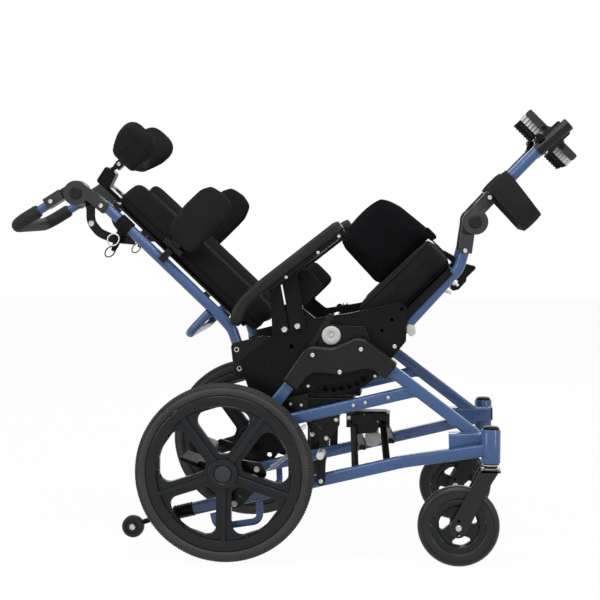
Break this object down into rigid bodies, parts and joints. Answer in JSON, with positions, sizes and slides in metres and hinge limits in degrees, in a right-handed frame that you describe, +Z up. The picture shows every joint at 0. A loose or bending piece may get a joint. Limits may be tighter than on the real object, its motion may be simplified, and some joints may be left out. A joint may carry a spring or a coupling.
{
  "type": "tilting stroller chair",
  "caption": "Child's tilt-in-space stroller chair with large rear wheels, front casters, reclining back, padded side supports, pommel and swinging leg rest.",
  "frame": {"origin": "on the floor, below the middle of the object's box", "axes": "+X forward, +Y to the chair's left, +Z up"},
  "size_m": [1.2854, 0.544, 0.9996],
  "materials": {
    "blue_paint": "gloss blue paint on tube",
    "black_paint": "satin black paint",
    "black_plastic": "satin moulded black",
    "grey_plastic": "moulded dark grey",
    "tyre_rubber": "matt rubber",
    "black_fabric": "knitted mesh cover over foam",
    "black_foam": "smooth closed-cell foam",
    "armrest_skin": "moulded soft skin"
  },
  "bodies": {
    "base": {"side_frame_right": "blue_paint", "rocker_cover_right": "black_plastic", "tilt_bracket_right": "black_paint", "axle_plate_right": "black_paint", "side_frame_left": "blue_paint", "rocker_cover_left": "black_plastic", "tilt_bracket_left": "black_paint", "axle_plate_left": "black_paint", "cross_brace": "black_paint"},
    "rear_wheel_right": {"rear_wheel_right": "black_plastic", "rear_tyre_right": "tyre_rubber"},
    "caster_right": {"caster_fork_right": "black_paint"},
    "caster_wheel_right": {"caster_hub_right": "black_plastic", "caster_tyre_right": "tyre_rubber"},
    "anti_tip_right": {"anti_tip_right": "black_plastic"},
    "anti_tip_roller_right": {"anti_tip_roller_right": "black_plastic"},
    "brake_pedal_right": {"brake_pedal_right": "black_plastic"},
    "brake_arm_right": {"brake_arm_right": "black_paint"},
    "rear_wheel_left": {"rear_wheel_left": "black_plastic", "rear_tyre_left": "tyre_rubber"},
    "caster_left": {"caster_fork_left": "black_paint"},
    "caster_wheel_left": {"caster_hub_left": "black_plastic", "caster_tyre_left": "tyre_rubber"},
    "anti_tip_left": {"anti_tip_left": "black_plastic"},
    "anti_tip_roller_left": {"anti_tip_roller_left": "black_plastic"},
    "brake_pedal_left": {"brake_pedal_left": "black_plastic"},
    "brake_arm_left": {"brake_arm_left": "black_paint"},
    "seat": {"seat_side_plate_right": "black_plastic", "seat_rail_right": "blue_paint", "seat_side_plate_left": "black_plastic", "seat_rail_left": "blue_paint", "seat_pan": "black_plastic", "seat_cushion": "black_fabric"},
    "pommel": {"pommel": "black_fabric"},
    "leg_rest": {"leg_tube_right": "blue_paint", "leg_tube_left": "blue_paint", "calf_strap": "black_fabric"},
    "back": {"back_cane_right": "blue_paint", "back_cane_left": "blue_paint", "back_u_bar": "blue_paint", "back_panel": "black_plastic", "back_cushion": "black_fabric"},
    "push_bar": {"push_bar": "blue_paint", "push_grip": "black_foam"},
    "headrest_stem": {"headrest_stem": "black_paint"},
    "headrest_pad": {"headrest_pad": "black_fabric"},
    "armrest_right": {"armrest_post_right": "black_plastic", "armrest_pad_right": "armrest_skin", "hip_pad_right": "black_fabric"},
    "footplate_right": {"footplate_right": "grey_plastic"},
    "knee_button_right": {"knee_button_right": "grey_plastic"},
    "handle_button_right": {"handle_button_right": "grey_plastic"},
    "lateral_pad_right": {"lateral_pad_right": "black_fabric"},
    "armrest_left": {"armrest_post_left": "black_plastic", "armrest_pad_left": "armrest_skin", "hip_pad_left": "black_fabric"},
    "footplate_left": {"footplate_left": "grey_plastic"},
    "knee_button_left": {"knee_button_left": "grey_plastic"},
    "handle_button_left": {"handle_button_left": "grey_plastic"},
    "lateral_pad_left": {"lateral_pad_left": "black_fabric"}
  },
  "joints": [
    {"name": "rear_wheel_right_spin", "type": "hinge", "parent": "base", "child": "rear_wheel_right", "pos_m": [-0.12851, -0.25, 0.2], "axis": [0, 1, 0], "continuous": true},
    {"name": "caster_right_swivel", "type": "hinge", "parent": "base", "child": "caster_right", "pos_m": [0.45749, -0.242, 0.2], "axis": [0, 0, 1], "continuous": true},
    {"name": "caster_wheel_right_spin", "type": "hinge", "parent": "caster_right", "child": "caster_wheel_right", "pos_m": [0.38849, -0.242, 0.09], "axis": [0, 1, 0], "continuous": true},
    {"name": "anti_tip_right_turn", "type": "hinge", "parent": "base", "child": "anti_tip_right", "pos_m": [-0.20551, -0.195, 0.107], "axis": [0.9715, 0, 0.2372], "range_deg": [0, 180]},
    {"name": "anti_tip_roller_right_spin", "type": "hinge", "parent": "anti_tip_right", "child": "anti_tip_roller_right", "pos_m": [-0.34451, -0.195, 0.064], "axis": [0, 1, 0], "continuous": true},
    {"name": "brake_pedal_right_press", "type": "hinge", "parent": "base", "child": "brake_pedal_right", "pos_m": [-0.11851, -0.16, 0.172], "axis": [0, -1, 0], "range_deg": [0, 20]},
    {"name": "brake_arm_right_swing", "type": "hinge", "parent": "base", "child": "brake_arm_right", "pos_m": [0.08349, -0.21, 0.17756], "axis": [0, -1, 0], "range_deg": [0, 4]},
    {"name": "rear_wheel_left_spin", "type": "hinge", "parent": "base", "child": "rear_wheel_left", "pos_m": [-0.12851, 0.25, 0.2], "axis": [0, 1, 0], "continuous": true},
    {"name": "caster_left_swivel", "type": "hinge", "parent": "base", "child": "caster_left", "pos_m": [0.45749, 0.242, 0.2], "axis": [0, 0, 1], "continuous": true},
    {"name": "caster_wheel_left_spin", "type": "hinge", "parent": "caster_left", "child": "caster_wheel_left", "pos_m": [0.38849, 0.242, 0.09], "axis": [0, 1, 0], "continuous": true},
    {"name": "anti_tip_left_turn", "type": "hinge", "parent": "base", "child": "anti_tip_left", "pos_m": [-0.20551, 0.195, 0.107], "axis": [-0.9715, 0, -0.2372], "range_deg": [0, 180]},
    {"name": "anti_tip_roller_left_spin", "type": "hinge", "parent": "anti_tip_left", "child": "anti_tip_roller_left", "pos_m": [-0.34451, 0.195, 0.064], "axis": [0, 1, 0], "continuous": true},
    {"name": "brake_pedal_left_press", "type": "hinge", "parent": "base", "child": "brake_pedal_left", "pos_m": [-0.11851, 0.16, 0.172], "axis": [0, -1, 0], "range_deg": [0, 20]},
    {"name": "brake_arm_left_swing", "type": "hinge", "parent": "base", "child": "brake_arm_left", "pos_m": [0.08349, 0.21, 0.17756], "axis": [0, -1, 0], "range_deg": [0, 4]},
    {"name": "seat_tilt", "type": "hinge", "parent": "base", "child": "seat", "pos_m": [0.10449, 0, 0.501], "axis": [0, 1, 0], "range_deg": [0, 45]},
    {"name": "pommel_lift", "type": "slide", "parent": "seat", "child": "pommel", "axis": [-0.7071, 0, 0.7071], "range_m": [0, 0.06]},
    {"name": "leg_rest_swing", "type": "hinge", "parent": "seat", "child": "leg_rest", "pos_m": [0.42269, 0, 0.75414], "axis": [0, 1, 0], "range_deg": [0, 70]},
    {"name": "back_recline", "type": "hinge", "parent": "seat", "child": "back", "pos_m": [0.01398, 0, 0.47413], "axis": [0, -1, 0], "range_deg": [0, 30]},
    {"name": "push_bar_fold", "type": "hinge", "parent": "back", "child": "push_bar", "pos_m": [-0.47816, 0, 0.81845], "axis": [0, 1, 0], "range_deg": [-60, 60]},
    {"name": "headrest_height", "type": "slide", "parent": "back", "child": "headrest_stem", "axis": [-0.7254, 0, 0.6884], "range_m": [0, 0.05]},
    {"name": "headrest_nod", "type": "hinge", "parent": "headrest_stem", "child": "headrest_pad", "pos_m": [-0.41066, 0, 0.88813], "axis": [0, 1, 0], "range_deg": [-20, 20]},
    {"name": "armrest_right_height", "type": "slide", "parent": "seat", "child": "armrest_right", "axis": [-0.2588, 0, 0.9659], "range_m": [0, 0.05]},
    {"name": "footplate_right_angle", "type": "hinge", "parent": "leg_rest", "child": "footplate_right", "pos_m": [0.58674, -0.1279, 0.93516], "axis": [0, 1, 0], "range_deg": [-20, 20]},
    {"name": "knee_button_right_press", "type": "slide", "parent": "seat", "child": "knee_button_right", "axis": [0, 1, 0], "range_m": [0, 0.003], "stiffness_N_per_m": 800},
    {"name": "handle_button_right_press", "type": "slide", "parent": "back", "child": "handle_button_right", "axis": [0, 1, 0], "range_m": [0, 0.003], "stiffness_N_per_m": 800},
    {"name": "lateral_pad_right_swing", "type": "hinge", "parent": "back", "child": "lateral_pad_right", "pos_m": [-0.25497, -0.165, 0.69627], "axis": [0.7254, 0, -0.6884], "range_deg": [0, 90]},
    {"name": "armrest_left_height", "type": "slide", "parent": "seat", "child": "armrest_left", "axis": [-0.2588, 0, 0.9659], "range_m": [0, 0.05]},
    {"name": "footplate_left_angle", "type": "hinge", "parent": "leg_rest", "child": "footplate_left", "pos_m": [0.58674, 0.1279, 0.93516], "axis": [0, 1, 0], "range_deg": [-20, 20]},
    {"name": "knee_button_left_press", "type": "slide", "parent": "seat", "child": "knee_button_left", "axis": [0, -1, 0], "range_m": [0, 0.003], "stiffness_N_per_m": 800},
    {"name": "handle_button_left_press", "type": "slide", "parent": "back", "child": "handle_button_left", "axis": [0, -1, 0], "range_m": [0, 0.003], "stiffness_N_per_m": 800},
    {"name": "lateral_pad_left_swing", "type": "hinge", "parent": "back", "child": "lateral_pad_left", "pos_m": [-0.25497, 0.165, 0.69627], "axis": [-0.7254, 0, 0.6884], "range_deg": [0, 90]}
  ],
  "couplings": [
    {"joint": "brake_arm_right_swing", "follows": "brake_pedal_right_press", "ratio": 0.2},
    {"joint": "brake_arm_left_swing", "follows": "brake_pedal_left_press", "ratio": 0.2}
  ]
}
